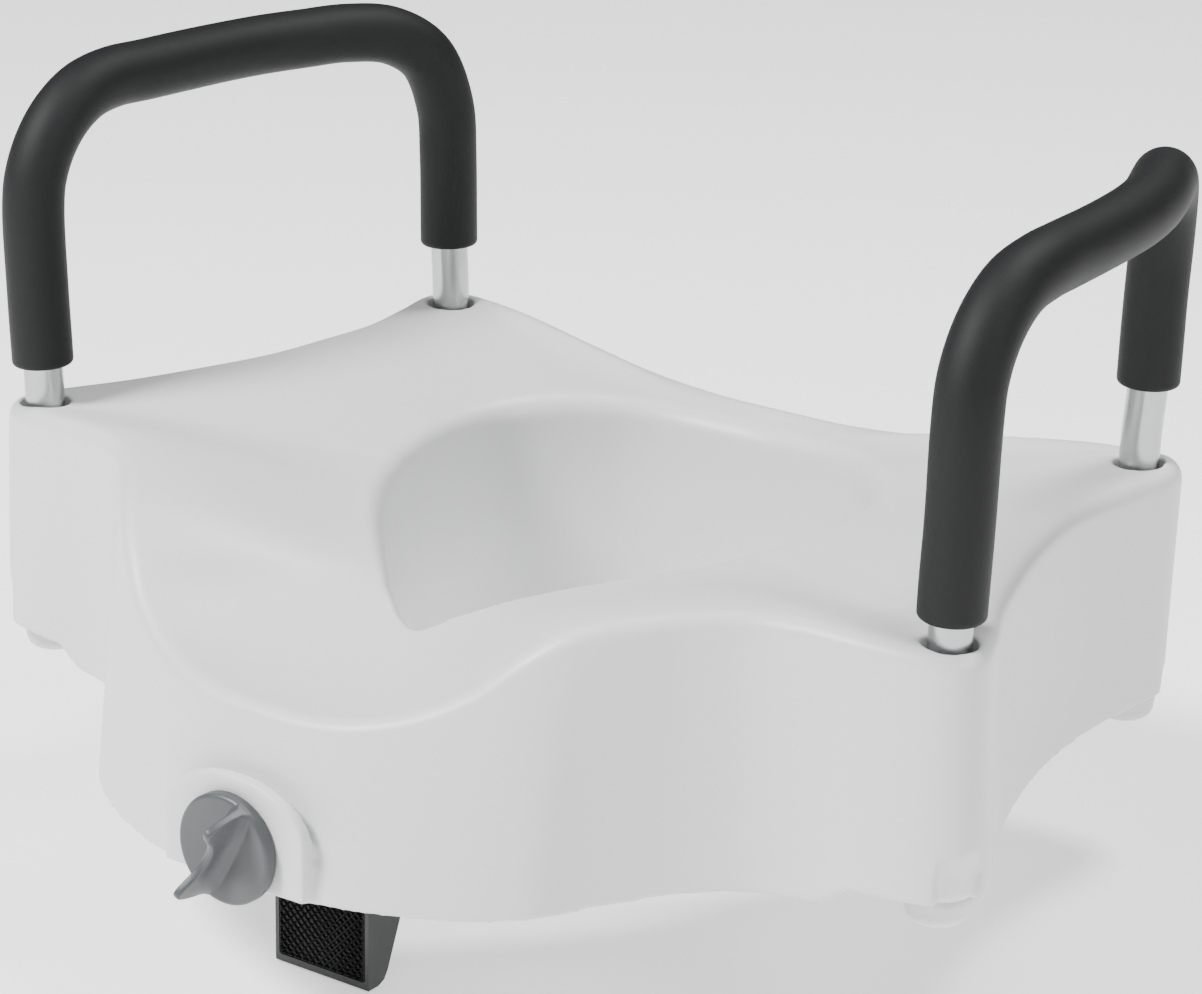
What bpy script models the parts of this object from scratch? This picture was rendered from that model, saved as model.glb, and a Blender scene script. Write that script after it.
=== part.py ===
"""Raised toilet seat with two padded lift arms and a screw clamp under the nose.

Lengths are in millimetres and are scaled to metres when each mesh is made. The frame: Z = 0 is the plane that the
shell rests on, X = 0 is the plane of symmetry, -Y is the front (the knob) and +Y is the back.
"""

import math

import bmesh
import bpy
import numpy as np
from mathutils import Matrix, Vector

MM = 0.001

# Shell
RIM_HEIGHT = 127.0        # from the resting plane to the flat wings
WALL = 4.0                # thickness of the moulded wall
SKIRT_BOTTOM = 15.0       # the side and back walls end this far above the resting plane
FRONT_RISE = 4.0          # how far the front wall's foot rises from the nose out to the wings
FILLET = 8.0              # rounding where the top turns down into the outer wall
FUNNEL_BOTTOM = 6.0       # lower end of the wall round the opening
REAR_LIP_DROP = 26.0      # how far that wall reaches below its own lower end at the back, to catch the bowl
FLANGE = 26.0             # width of the ledge, under the shell, that carries the rest pads

# Arms
TUBE_RADIUS = 9.525       # 3/4 inch tube
TUBE_WALL = 1.3
FOAM_RADIUS = 15.0
FOAM_BORE = 9.85
SOCKET_RADIUS = 10.3
SOCKET_MOUTH_RADIUS = 11.9
SOCKET_MOUTH_DEPTH = 16.0
POST_RADIUS = 15.2
TUBE_END = 24.0           # the tube's lower ends stop this far above the resting plane

# Clamp
KNOB_RADIUS = 25.3
KNOB_FRONT = -290.2
BOSS_FACE = -283.5
AXIS_HEIGHT = 18.3        # height of the spindle
SPINDLE_RADIUS = 4.75
CLAMP_WIDTH = 54.0
CLAMP_FRONT = -225.0
CLAMP_BACK = -188.0
CLAMP_BOTTOM = -65.4
GUIDE_BOTTOM = 33.0       # underside of the guide plate
SPINDLE_END = -171.0      # the spindle's free end, behind the bracket

# Half outline of the shell, from the middle of the nose round to the middle of the back. Each row holds one point of
# the opening's lip (x, y, depth below the wings), one of the top of the outer wall (x, y, depth below the wings) and
# one of its foot (x, y).
HALF_OUTLINE = [
    (0.0, -161.0, 45.5, 0.0, -267.0, 50.0, 0.0, -281.5),
    (10.0, -159.4, 42.0, 35.0, -264.5, 49.0, 33.0, -279.5),
    (18.5, -155.0, 37.0, 66.0, -254.5, 43.0, 62.0, -272.0),
    (29.0, -148.0, 32.5, 93.0, -241.0, 30.0, 89.0, -260.0),
    (38.0, -140.0, 29.0, 112.0, -227.5, 13.0, 109.0, -247.5),
    (48.0, -131.5, 26.0, 124.5, -216.5, 4.0, 124.0, -235.0),
    (58.0, -121.5, 23.5, 135.5, -205.0, 0.0, 137.0, -214.5),
    (69.0, -110.0, 21.5, 149.0, -190.0, -2.0, 151.0, -195.0),
    (81.0, -95.0, 20.0, 163.0, -175.5, -3.0, 165.5, -177.5),
    (91.5, -80.0, 19.0, 182.0, -161.5, -3.5, 184.0, -161.5),
    (97.0, -71.0, 18.5, 206.0, -155.0, -3.5, 209.0, -153.0),
    (102.0, -62.0, 17.5, 235.0, -151.0, -2.0, 237.0, -151.5),
    (107.0, -50.0, 17.0, 262.5, -143.3, 0.0, 264.0, -145.0),
    (110.0, -43.0, 16.0, 275.0, -128.0, 0.0, 278.0, -129.0),
    (113.0, -35.0, 15.4, 269.5, -107.0, 0.0, 271.5, -106.0),
    (116.0, -20.0, 14.4, 253.0, -74.0, 0.0, 254.5, -73.0),
    (118.5, -8.0, 13.5, 240.0, -40.0, 0.0, 241.0, -39.0),
    (120.0, 8.0, 13.0, 227.5, 0.0, 0.0, 229.5, 0.0),
    (119.8, 28.0, 12.7, 220.5, 38.0, -1.0, 223.0, 38.0),
    (116.0, 47.0, 12.4, 219.5, 70.0, -0.5, 221.5, 71.0),
    (108.0, 63.0, 12.3, 221.5, 100.0, -1.0, 223.0, 101.0),
    (96.0, 78.0, 12.5, 223.5, 127.0, -2.0, 224.0, 128.0),
    (85.0, 89.0, 13.5, 212.0, 143.0, -2.0, 212.5, 144.5),
    (73.0, 99.0, 15.0, 190.0, 145.0, -2.0, 190.0, 148.0),
    (58.0, 107.0, 16.5, 160.0, 141.5, 0.0, 160.0, 145.5),
    (42.0, 112.0, 18.0, 120.0, 138.0, 6.0, 120.0, 142.5),
    (26.0, 115.0, 19.0, 80.0, 138.5, 13.5, 80.0, 143.0),
    (13.0, 116.5, 19.5, 40.0, 139.5, 17.5, 40.0, 144.0),
    (0.0, 117.0, 20.0, 0.0, 139.5, 18.0, 0.0, 144.0),
]
STATION_STEPS = 2         # sections made for each row above

# Centre line of the right arm's tube, from the lower end of the front leg to that of the back leg.
FRONT_BEND_CENTRE = (-72.0, 222.3)
FRONT_BEND_RADIUS = 54.0
ARM_FRONT_LEG = [(256.2, -124.2, TUBE_END), (257.0, -125.5, 127.0), (259.2, -126.0, 180.0)]
ARM_BAR = [
    (257.5, -48.7, 276.4), (255.9, -23.0, 276.4), (253.6, 2.0, 276.4), (249.9, 27.0, 276.3), (243.4, 52.0, 276.1),
    (234.2, 76.0, 276.2), (223.9, 98.9, 272.5), (215.0, 117.0, 259.0), (209.9, 125.5, 234.0), (208.2, 126.4, 207.0),
]
ARM_BACK_LEG = [(207.2, 126.0, 165.0), (205.4, 125.6, 129.0), (204.6, 126.6, TUBE_END)]
FOAM_ENDS = {"right": (137.5, 166.5), "left": (145.0, 159.5)}   # heights of the foam's two ends

COLOURS = {
    "seat_shell": (0.86, 0.87, 0.86),
    "arm_tube": (0.76, 0.77, 0.79),
    "foam_grip": (0.035, 0.037, 0.04),
    "foot_cap": (0.84, 0.85, 0.84),
    "tube_plug": (0.10, 0.10, 0.11),
    "cap_screw": (0.70, 0.70, 0.72),
    "clamp_knob": (0.20, 0.21, 0.22),
    "clamp_spindle": (0.62, 0.62, 0.64),
    "thrust_washer": (0.62, 0.62, 0.64),
    "retaining_clip": (0.35, 0.35, 0.37),
    "clamp_nut": (0.62, 0.62, 0.64),
    "clamp_bracket": (0.24, 0.25, 0.26),
    "clamp_pad": (0.02, 0.02, 0.022),
    "guide_plate": (0.66, 0.66, 0.68),
    "guide_screw": (0.70, 0.70, 0.72),
    "rest_pad": (0.03, 0.03, 0.032),
}


def clear_scene():
    for obj in list(bpy.data.objects):
        bpy.data.objects.remove(obj)


def add_material(obj):
    key = max((k for k in COLOURS if obj.name.startswith(k)), key=len)
    material = bpy.data.materials.new(obj.name)
    material.use_nodes = True
    shader = material.node_tree.nodes["Principled BSDF"]
    shader.inputs["Base Color"].default_value = (*COLOURS[key], 1.0)
    metal = key in ("arm_tube", "cap_screw", "clamp_spindle", "thrust_washer", "clamp_nut", "guide_plate", "guide_screw")
    shader.inputs["Metallic"].default_value = 1.0 if metal else 0.0
    shader.inputs["Roughness"].default_value = 0.35 if metal else 0.5
    obj.data.materials.append(material)


def make_object(name, verts, faces, smooth=True, helper=False):
    """A mesh object from points in millimetres. A helper is a cutter or a lump that a Boolean uses."""
    mesh = bpy.data.meshes.new(name)
    mesh.from_pydata([(x * MM, y * MM, z * MM) for x, y, z in verts], [], faces)
    work = bmesh.new()
    work.from_mesh(mesh)
    bmesh.ops.recalc_face_normals(work, faces=work.faces)
    work.to_mesh(mesh)
    work.free()
    obj = bpy.data.objects.new(name, mesh)
    bpy.context.scene.collection.objects.link(obj)
    mesh.polygons.foreach_set("use_smooth", [smooth] * len(mesh.polygons))
    if helper:
        obj.hide_render = True
        obj.display_type = "WIRE"
    else:
        add_material(obj)
    return obj


def boolean(obj, other, operation):
    modifier = obj.modifiers.new(f"{operation.lower()}_{other.name}", "BOOLEAN")
    modifier.operation = operation
    modifier.solver = "EXACT"
    modifier.object = other


def ring_frame(axis):
    """Two directions at right angles to the axis."""
    axis = Vector(axis).normalized()
    side = Vector((0.0, 1.0, 0.0)) if abs(axis.y) < 0.9 else Vector((1.0, 0.0, 0.0))
    across = axis.cross(side).normalized()
    return across, axis.cross(across).normalized()


def lathe(start, axis, profile, segments=24):
    """Solid of revolution. The profile is a list of (distance along the axis, radius); a radius of 0 closes an end."""
    axis = Vector(axis).normalized()
    across, up = ring_frame(axis)
    verts = []
    rings = []
    for along, radius in profile:
        centre = Vector(start) + axis * along
        if radius == 0.0:
            rings.append([len(verts)])
            verts.append(tuple(centre))
            continue
        first = len(verts)
        for i in range(segments):
            angle = 2 * math.pi * i / segments
            verts.append(tuple(centre + across * (radius * math.cos(angle)) + up * (radius * math.sin(angle))))
        rings.append(list(range(first, first + segments)))
    return verts, rings_to_faces(rings, closed=False)


def rings_to_faces(rings, closed):
    """Faces between neighbouring rings; the end rings are capped unless the run closes on itself."""
    faces = []
    count = len(rings)
    for r in range(count if closed else count - 1):
        first, second = rings[r], rings[(r + 1) % count]
        if len(first) == 1 or len(second) == 1:
            loop, tip = (second, first[0]) if len(first) == 1 else (first, second[0])
            for i in range(len(loop)):
                faces.append((loop[i], loop[(i + 1) % len(loop)], tip))
            continue
        for i in range(len(first)):
            j = (i + 1) % len(first)
            faces.append((first[i], first[j], second[j], second[i]))
    if not closed:
        for ring in (rings[0], rings[-1]):
            if len(ring) > 1:
                faces.append(tuple(ring))
    return faces


def tube_ring(start, axis, length, inner, outer, segments=24):
    """A plain ring or sleeve: an annulus swept along the axis."""
    axis = Vector(axis).normalized()
    across, up = ring_frame(axis)
    verts = []
    rings = []
    for along, radius in ((0, inner), (0, outer), (length, outer), (length, inner)):
        centre = Vector(start) + axis * along
        first = len(verts)
        for i in range(segments):
            angle = 2 * math.pi * i / segments
            verts.append(tuple(centre + across * (radius * math.cos(angle)) + up * (radius * math.sin(angle))))
        rings.append(list(range(first, first + segments)))
    return verts, rings_to_faces(rings, closed=True)


def prism(points, low, high, axis="Z"):
    """A flat outline pushed along one axis. For X the outline is (y, z), for Y it is (x, z), for Z it is (x, y)."""
    place = {"X": lambda a, b, h: (h, a, b), "Y": lambda a, b, h: (a, h, b), "Z": lambda a, b, h: (a, b, h)}[axis]
    verts = [place(a, b, low) for a, b in points] + [place(a, b, high) for a, b in points]
    count = len(points)
    faces = [tuple(range(count)), tuple(range(count, 2 * count))]
    for i in range(count):
        j = (i + 1) % count
        faces.append((i, j, count + j, count + i))
    return verts, faces


def box(low, high):
    return prism([(low[0], low[1]), (high[0], low[1]), (high[0], high[1]), (low[0], high[1])], low[2], high[2])


def rounded_rectangle(width, height, radius, steps=5):
    points = []
    for cx, cy, start in ((1, 1, 0), (-1, 1, 90), (-1, -1, 180), (1, -1, 270)):
        for i in range(steps + 1):
            angle = math.radians(start + 90 * i / steps)
            points.append((cx * (width / 2 - radius) + radius * math.cos(angle),
                           cy * (height / 2 - radius) + radius * math.sin(angle)))
    return points


def smooth_rows(rows, steps, mirrored):
    """Rows between the given rows on a Catmull-Rom curve, from the first row to the last."""
    table = np.array(rows, float)
    if mirrored is not None:
        before, after = table[1] * mirrored, table[-2] * mirrored
    else:
        before, after = 2 * table[0] - table[1], 2 * table[-1] - table[-2]
    table = np.vstack([before, table, after])
    made = []
    for k in range(1, len(table) - 2):
        a, b, c, d = table[k - 1], table[k], table[k + 1], table[k + 2]
        for s in range(steps):
            t = s / steps
            made.append(0.5 * (2 * b + (c - a) * t + (2 * a - 5 * b + 4 * c - d) * t**2 + (3 * b - a - 3 * c + d) * t**3))
    made.append(table[-2])
    return np.array(made)


def ease(value):
    value = min(1.0, max(0.0, value))
    return value * value * (3 - 2 * value)


def shell_section(lip, edge, foot, normals, share):
    """One closed section of the shell, from the inside of the opening over the top and down the outer wall and back.

    share runs from 0 at the nose to 1 at the back. The normals point away from the opening at the lip, at the top of
    the wall and at its foot.
    """
    lip_xy, edge_xy, foot_xy = Vector(lip[:2]), Vector(edge[:2]), Vector(foot)
    lip_out, edge_out, foot_out = normals
    lip_z = RIM_HEIGHT - lip[2]
    edge_z = RIM_HEIGHT - edge[2]
    lip_round = 5.0 + 7.0 * ease((share - 0.05) / 0.2)
    inner = lip_xy - lip_out * (0.75 * lip_round)
    top_start = lip_xy + lip_out * (0.25 * lip_round)
    top_end = edge_xy - edge_out * FILLET
    middle_xy = edge_xy.lerp(foot_xy, 0.55)
    skirt = FRONT_RISE * ease((share - 0.15) / 0.15) + (SKIRT_BOTTOM - FRONT_RISE) * ease((share - 0.362) / 0.022)
    rear = ease((share - 0.86) / 0.08)
    funnel_low = FUNNEL_BOTTOM - REAR_LIP_DROP * rear
    flange = 2.0 + FLANGE * ease((share - 0.30) / 0.08) * ease((0.80 - share) / 0.08)
    taper = inner - lip_out * 2.0
    sag = 6.0 * (1 - ease(share / 0.16))
    points = []

    def add(xy, z):
        points.append((xy.x, xy.y, z))

    def top_height(t):
        rise = ease(0.15 + 0.85 * t) if t > 0 else 0.0
        return (lip_z - 1.0) + (edge_z - lip_z + 1.0) * rise - sag * 4 * t * (1 - t)

    # Inside of the opening, upwards, then the rounded lip.
    add(taper, funnel_low)
    add(taper, 30.0)
    for angle in (0.0, 30.0, 60.0, 90.0):
        a = math.radians(angle)
        add(inner + lip_out * (lip_round * (1 - math.cos(a))), lip_z - 1.0 - lip_round * (1 - math.sin(a)))
    # The top, from the lip to the outer edge, then the rounded outer edge.
    for t in (0.3, 0.62, 1.0):
        add(top_start.lerp(top_end, t), top_height(t))
    for angle in (35.0, 65.0, 90.0):
        a = math.radians(angle)
        add(top_end + edge_out * (FILLET * math.sin(a)), edge_z - FILLET * (1 - math.cos(a)))
    # Down the outside of the wall.
    add(middle_xy, 0.5 * (edge_z - FILLET + skirt))
    add(foot_xy, skirt)
    # Up the inside of the wall, under the top and down the outside of the funnel.
    add(foot_xy - foot_out * WALL, skirt)
    add(middle_xy - edge_out * WALL, 0.5 * (edge_z - FILLET + skirt))
    add(edge_xy - edge_out * (WALL + 0.6), edge_z - FILLET)
    add(top_end - edge_out, edge_z - WALL)
    add(top_start.lerp(top_end, 0.62), top_height(0.62) - WALL)
    add(top_start.lerp(top_end, 0.3), top_height(0.3) - WALL)
    add(inner + lip_out * (WALL + 0.8), lip_z - lip_round - 2.0)
    add(taper + lip_out * WALL, FUNNEL_BOTTOM + 4.0)
    # The ledge under the shell.
    add(taper + lip_out * (WALL + flange), FUNNEL_BOTTOM + 4.0)
    add(taper + lip_out * (WALL + flange), FUNNEL_BOTTOM)
    add(taper + lip_out * (WALL + 0.2), min(FUNNEL_BOTTOM, funnel_low + 6.0 * rear))
    return points


def outline_normals(points):
    """Directions away from the inside of a half outline that starts and ends on the plane of symmetry."""
    before = np.vstack([points[1] * (-1, 1), points[:-1]])
    after = np.vstack([points[1:], points[-2] * (-1, 1)])
    along = after - before
    normals = np.column_stack([along[:, 1], -along[:, 0]])
    return normals / np.linalg.norm(normals, axis=1)[:, None]


def shell_mesh():
    mirrored = np.array([-1, 1, 1, -1, 1, 1, -1, 1], float)
    half = smooth_rows(HALF_OUTLINE, STATION_STEPS, mirrored)
    count = len(half)
    lip_out = outline_normals(half[:, 0:2])
    edge_out = outline_normals(half[:, 3:5])
    foot_out = outline_normals(half[:, 6:8])
    sections = []
    for i, row in enumerate(half):
        normals = (Vector(lip_out[i]), Vector(edge_out[i]), Vector(foot_out[i]))
        sections.append(shell_section(row[0:3], row[3:6], row[6:8], normals, i / (count - 1)))
    mirror = [[(-x, y, z) for x, y, z in section] for section in sections[-2:0:-1]]
    sections += mirror
    verts = [point for section in sections for point in section]
    size = len(sections[0])
    rings = [list(range(i * size, (i + 1) * size)) for i in range(len(sections))]
    return verts, rings_to_faces(rings, closed=True)


def arm_path():
    """Centre line of the right arm as evenly smoothed points."""
    points = list(ARM_FRONT_LEG)
    for angle in (0, 22.5, 45, 67.5, 90):
        a = math.radians(angle)
        points.append((260.4 - 1.1 * angle / 90,
                       FRONT_BEND_CENTRE[0] - FRONT_BEND_RADIUS * math.cos(a),
                       FRONT_BEND_CENTRE[1] + FRONT_BEND_RADIUS * math.sin(a)))
    points += ARM_BAR
    points += ARM_BACK_LEG
    return points


def sweep_annulus(path, inner, outer, segments):
    """A tube along a path: its inner and outer skins joined at both ends."""
    count = len(path)
    verts = []
    skins = {inner: [], outer: []}
    across = None
    for k in range(count):
        here = Vector(path[k])
        ahead = (Vector(path[min(k + 1, count - 1)]) - Vector(path[max(k - 1, 0)])).normalized()
        if across is None:
            across = ahead.cross(Vector((1.0, 0.0, 0.0))).normalized()
        across = (across - ahead * across.dot(ahead)).normalized()
        up = ahead.cross(across).normalized()
        for radius in (inner, outer):
            first = len(verts)
            for i in range(segments):
                angle = 2 * math.pi * i / segments
                verts.append(tuple(here + across * (radius * math.cos(angle)) + up * (radius * math.sin(angle))))
            skins[radius].append(list(range(first, first + segments)))
    rings = skins[outer] + skins[inner][::-1]
    return verts, rings_to_faces(rings, closed=True)


def cut_path(path, front_height, back_height):
    """The part of the arm's path above the two heights, ending exactly at them."""
    points = [Vector(p) for p in path]
    top = max(range(len(points)), key=lambda k: points[k].z)
    kept = []
    for k, point in enumerate(points):
        limit = front_height if k <= top else back_height
        if point.z > limit + 6:
            kept.append(point)
    first = points.index(kept[0])
    last = points.index(kept[-1])
    below, above = points[first - 1], points[first]
    kept.insert(0, below.lerp(above, (front_height - below.z) / (above.z - below.z)))
    above, below = points[last], points[last + 1]
    kept.append(below.lerp(above, (back_height - below.z) / (above.z - below.z)))
    return [tuple(p) for p in kept]


def mirrored_points(points, side):
    return points if side == "right" else [(-x, y, z) for x, y, z in points]


def leg_axis(leg):
    """Start and direction of the straight lower length of a leg, upwards."""
    low, high = (ARM_FRONT_LEG[0], ARM_FRONT_LEG[1]) if leg == "front" else (ARM_BACK_LEG[-1], ARM_BACK_LEG[-2])
    return Vector(low), (Vector(high) - Vector(low)).normalized()


def at_height(start, direction, height):
    return start + direction * ((height - start.z) / direction.z)


def build_shell():
    shell = make_object("seat_shell", *shell_mesh())
    # The four posts that hold the tubes.
    for side in ("right", "left"):
        flip = 1 if side == "right" else -1
        for leg in ("front", "back"):
            start, direction = leg_axis(leg)
            start = Vector((start.x * flip, start.y, start.z))
            direction = Vector((direction.x * flip, direction.y, direction.z))
            low = at_height(start, direction, SKIRT_BOTTOM)
            post = lathe(low, direction, [(0, POST_RADIUS), (RIM_HEIGHT - SKIRT_BOTTOM - 2.0, POST_RADIUS)], 24)
            boolean(shell, make_object(f"post_{leg}_{side}", *post, helper=True), "UNION")
    # The raised boss that the knob turns against, and the flat pad behind it for the washer.
    boss = [(39.5, 1.0), (39.5, 28.0)]
    for angle in (20, 40, 60, 80):
        a = math.radians(angle)
        boss.append((39.5 * math.cos(a), 28.0 + 23.0 * math.sin(a)))
    boss += [(-x, z) for x, z in boss[::-1]]
    boolean(shell, make_object("knob_boss", *prism(boss, BOSS_FACE, -277.0, "Y"), helper=True), "UNION")
    inner = lathe((0, -280.0, AXIS_HEIGHT), (0, 1, 0), [(0, 13.0), (9.5, 13.0)], 24)
    boolean(shell, make_object("washer_boss", *inner, helper=True), "UNION")
    # The four studs under the nose that the guide plate is screwed to.
    for x, y in guide_screw_places():
        stud = lathe((x, y, GUIDE_BOTTOM + 2.4), (0, 0, 1), [(0, 6.0), (stud_top(y) - GUIDE_BOTTOM - 2.4, 6.0)], 16)
        boolean(shell, make_object(f"stud_{x:.0f}_{y:.0f}", *stud, helper=True), "UNION")
    # Holes.
    for side in ("right", "left"):
        flip = 1 if side == "right" else -1
        for leg in ("front", "back"):
            start, direction = leg_axis(leg)
            start = Vector((start.x * flip, start.y, start.z))
            direction = Vector((direction.x * flip, direction.y, direction.z))
            low = at_height(start, direction, SKIRT_BOTTOM - 5.0)
            mouth = RIM_HEIGHT - SOCKET_MOUTH_DEPTH - SKIRT_BOTTOM + 5.0
            profile = [(0, SOCKET_RADIUS), (mouth, SOCKET_RADIUS), (mouth + 3.0, SOCKET_MOUTH_RADIUS),
                       (mouth + 36.0, SOCKET_MOUTH_RADIUS)]
            boolean(shell, make_object(f"socket_{leg}_{side}", *lathe(low, direction, profile, 24), helper=True),
                    "DIFFERENCE")
    hole = lathe((0, -300.0, AXIS_HEIGHT), (0, 1, 0), [(0, 5.2), (40.0, 5.2)], 24)
    boolean(shell, make_object("spindle_hole", *hole, helper=True), "DIFFERENCE")
    for x, y in guide_screw_places():
        pilot = lathe((x, y, GUIDE_BOTTOM - 5.0), (0, 0, 1), [(0, 2.2), (25.0, 2.2)], 12)
        boolean(shell, make_object(f"pilot_{x:.0f}_{y:.0f}", *pilot, helper=True), "DIFFERENCE")
    return shell


def guide_screw_places():
    return [(x, y) for x in (-46.0, 46.0) for y in (-248.0, -186.0)]


def stud_top(y):
    """Height inside the thickness of the nose's floor."""
    return 77.5 if y < -220 else 86.5


def build_arms():
    path = arm_path()
    for side in ("right", "left"):
        line = mirrored_points(path, side)
        make_object(f"arm_tube_{side}", *sweep_annulus(line, TUBE_RADIUS - TUBE_WALL, TUBE_RADIUS, 16))
        foam = mirrored_points(cut_path(path, *FOAM_ENDS[side]), side)
        make_object(f"foam_grip_{side}", *sweep_annulus(foam, FOAM_BORE, FOAM_RADIUS, 16))


def build_feet():
    for side in ("right", "left"):
        flip = 1 if side == "right" else -1
        for leg in ("front", "back"):
            start, direction = leg_axis(leg)
            start = Vector((start.x * flip, start.y, start.z))
            direction = Vector((direction.x * flip, direction.y, direction.z))
            base = at_height(start, direction, 0.0)
            # The cap: rounded outside, with a spigot up into the socket and a stepped hole for its screw.
            profile = [(0, 10.5), (1.2, 12.8), (3.6, 14.3), (7.0, 15.0), (14.2, 15.0), (14.2, 9.3), (21.5, 9.3)]
            cap = make_object(f"foot_cap_{leg}_{side}", *lathe(base, (0, 0, 1), profile, 24))
            below = at_height(start, direction, -1.0)
            cutter = lathe(below, direction, [(0, 4.8), (6.0, 4.8), (6.0, 2.4), (25.0, 2.4)], 16)
            boolean(cap, make_object(f"cap_hole_{leg}_{side}", *cutter, helper=True), "DIFFERENCE")
            # The plug in the tube's end.
            low = at_height(start, direction, TUBE_END + 0.4)
            make_object(f"tube_plug_{leg}_{side}", *tube_ring(low, direction, 16.0, 2.35, 7.9, 16))
            screw = [(0, 0.0), (0, 4.2), (2.6, 4.2), (2.6, 2.0), (34.0, 2.0), (35.5, 0.0)]
            make_object(f"cap_screw_{leg}_{side}", *lathe(at_height(start, direction, 2.0), direction, screw, 16))


def set_origin(obj, point):
    """Puts the object's origin at a point given in millimetres, with its mesh left where it is."""
    offset = Vector(point) * MM
    obj.data.transform(Matrix.Translation(-offset))
    obj.location = offset


def build_knob():
    """The disc with its saddle-shaped wing, and what turns with it."""
    axis = (0, 1, 0)
    profile = [(0, 0.0), (0, 24.3), (1.0, KNOB_RADIUS), (6.3, KNOB_RADIUS), (6.3, 0.0)]
    knob = make_object("clamp_knob", *lathe((0, KNOB_FRONT, AXIS_HEIGHT), axis, profile, 40))
    # The wing is a thin fin right across the disc, with a lobe near each end and a saddle for the thumb between them.
    along = Vector((0.48, 0.0, 0.877))
    across = Vector((0.877, 0.0, -0.48))
    stations = [(24.6, 1.0, 3.2), (24.0, 7.0, 3.8), (22.6, 14.0, 4.6), (20.8, 18.6, 5.2), (18.4, 20.2, 5.8),
                (15.0, 18.6, 6.2), (10.0, 14.0, 6.6), (5.0, 11.0, 6.8), (0.0, 10.0, 6.8)]
    stations = [(-distance, *rest) for distance, *rest in stations] + stations[-2::-1]
    verts = []
    rings = []
    for distance, height, base in stations:
        centre = Vector((0.0, KNOB_FRONT, AXIS_HEIGHT)) + along * distance
        half_outline = [(base, -3.0), (1.6 + 0.45 * (base - 1.6), 0.12 * height),
                        (1.6 + 0.15 * (base - 1.6), 0.5 * height), (1.6, height)]
        outline = [(-side, lift) for side, lift in half_outline] + half_outline[::-1]
        ring = []
        for side, lift in outline:
            point = centre + across * side + Vector((0.0, -lift, 0.0))
            ring.append(len(verts))
            verts.append(tuple(point))
        rings.append(ring)
    boolean(knob, make_object("knob_wing", verts, rings_to_faces(rings, closed=False), helper=True), "UNION")
    pocket = lathe((0, KNOB_FRONT + 2.4, AXIS_HEIGHT), axis, [(0, 8.4), (10.0, 8.4)], 6)
    boolean(knob, make_object("knob_pocket", *pocket, helper=True), "DIFFERENCE")
    # The spindle's hexagonal head sits in the knob's pocket, and its clip groove is behind the shell's front wall.
    start = (0, KNOB_FRONT + 2.8, AXIS_HEIGHT)
    head = make_object("clamp_spindle", *lathe(start, axis, [(0, 8.0), (3.2, 8.0)], 6))
    groove = -268.8 - start[1]
    length = SPINDLE_END - start[1]
    shaft_profile = [(2.0, SPINDLE_RADIUS), (groove, SPINDLE_RADIUS), (groove, 3.9), (groove + 1.3, 3.9),
                     (groove + 1.3, SPINDLE_RADIUS), (length - 2.0, SPINDLE_RADIUS), (length, 3.2)]
    shaft = make_object("spindle_shaft", *lathe(start, axis, shaft_profile, 32), helper=True)
    boolean(head, shaft, "UNION")
    make_object("thrust_washer", *tube_ring((0, -270.2, AXIS_HEIGHT), axis, 1.1, 5.1, 10.0, 24))
    clip = make_object("retaining_clip", *tube_ring((0, -268.6, AXIS_HEIGHT), axis, 0.9, 4.15, 8.0, 24))
    for obj in (knob, head, clip):
        set_origin(obj, (0.0, KNOB_FRONT, AXIS_HEIGHT))


def build_bracket():
    """The sliding bracket with its nut and its rubber pad."""
    half = CLAMP_WIDTH / 2
    side_view = [(CLAMP_FRONT, CLAMP_BOTTOM), (-218.0, CLAMP_BOTTOM + 0.2), (-214.0, CLAMP_BOTTOM + 2.0),
                 (-211.5, CLAMP_BOTTOM + 6.0), (-203.0, -38.0), (CLAMP_BACK, 0.0), (CLAMP_BACK, 29.0),
                 (CLAMP_FRONT, 29.0)]
    bracket = make_object("clamp_bracket", *prism(side_view, -half, half, "X"), smooth=False)
    top = box((-33.0, CLAMP_FRONT, 28.0), (33.0, CLAMP_BACK, 32.2))
    boolean(bracket, make_object("bracket_flange", *top, helper=True), "UNION")
    bore = lathe((0, -235.0, AXIS_HEIGHT), (0, 1, 0), [(0, 5.6), (60.0, 5.6)], 24)
    boolean(bracket, make_object("bracket_bore", *bore, helper=True), "DIFFERENCE")
    seat = lathe((0, CLAMP_BACK - 9.0, AXIS_HEIGHT), (0, 1, 0), [(0, 10.2), (12.0, 10.2)], 6)
    boolean(bracket, make_object("nut_seat", *seat, helper=True), "DIFFERENCE")
    recess = [(x, z - 31.0) for x, z in rounded_rectangle(CLAMP_WIDTH - 4.4, 62.0, 1.5)]
    boolean(bracket, make_object("pad_recess", *prism(recess, -230.0, CLAMP_FRONT + 2.2, "Y"), helper=True),
            "DIFFERENCE")
    pad_outline = [(x, z - 31.0) for x, z in rounded_rectangle(CLAMP_WIDTH - 5.0, 61.4, 1.3)]
    pad = make_object("clamp_pad", *prism(pad_outline, CLAMP_FRONT - 0.6, CLAMP_FRONT + 1.9, "Y"), smooth=False)
    nut_verts, nut_faces = lathe((0, CLAMP_BACK - 8.6, AXIS_HEIGHT), (0, 1, 0), [(0, 9.8), (8.0, 9.8)], 6)
    nut = make_object("clamp_nut", nut_verts, nut_faces, smooth=False)
    thread = lathe((0, CLAMP_BACK - 12.0, AXIS_HEIGHT), (0, 1, 0), [(0, 4.9), (20.0, 4.9)], 32)
    boolean(nut, make_object("nut_thread", *thread, helper=True), "DIFFERENCE")
    for obj in (bracket, pad, nut):
        set_origin(obj, (0.0, CLAMP_FRONT, AXIS_HEIGHT))


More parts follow.
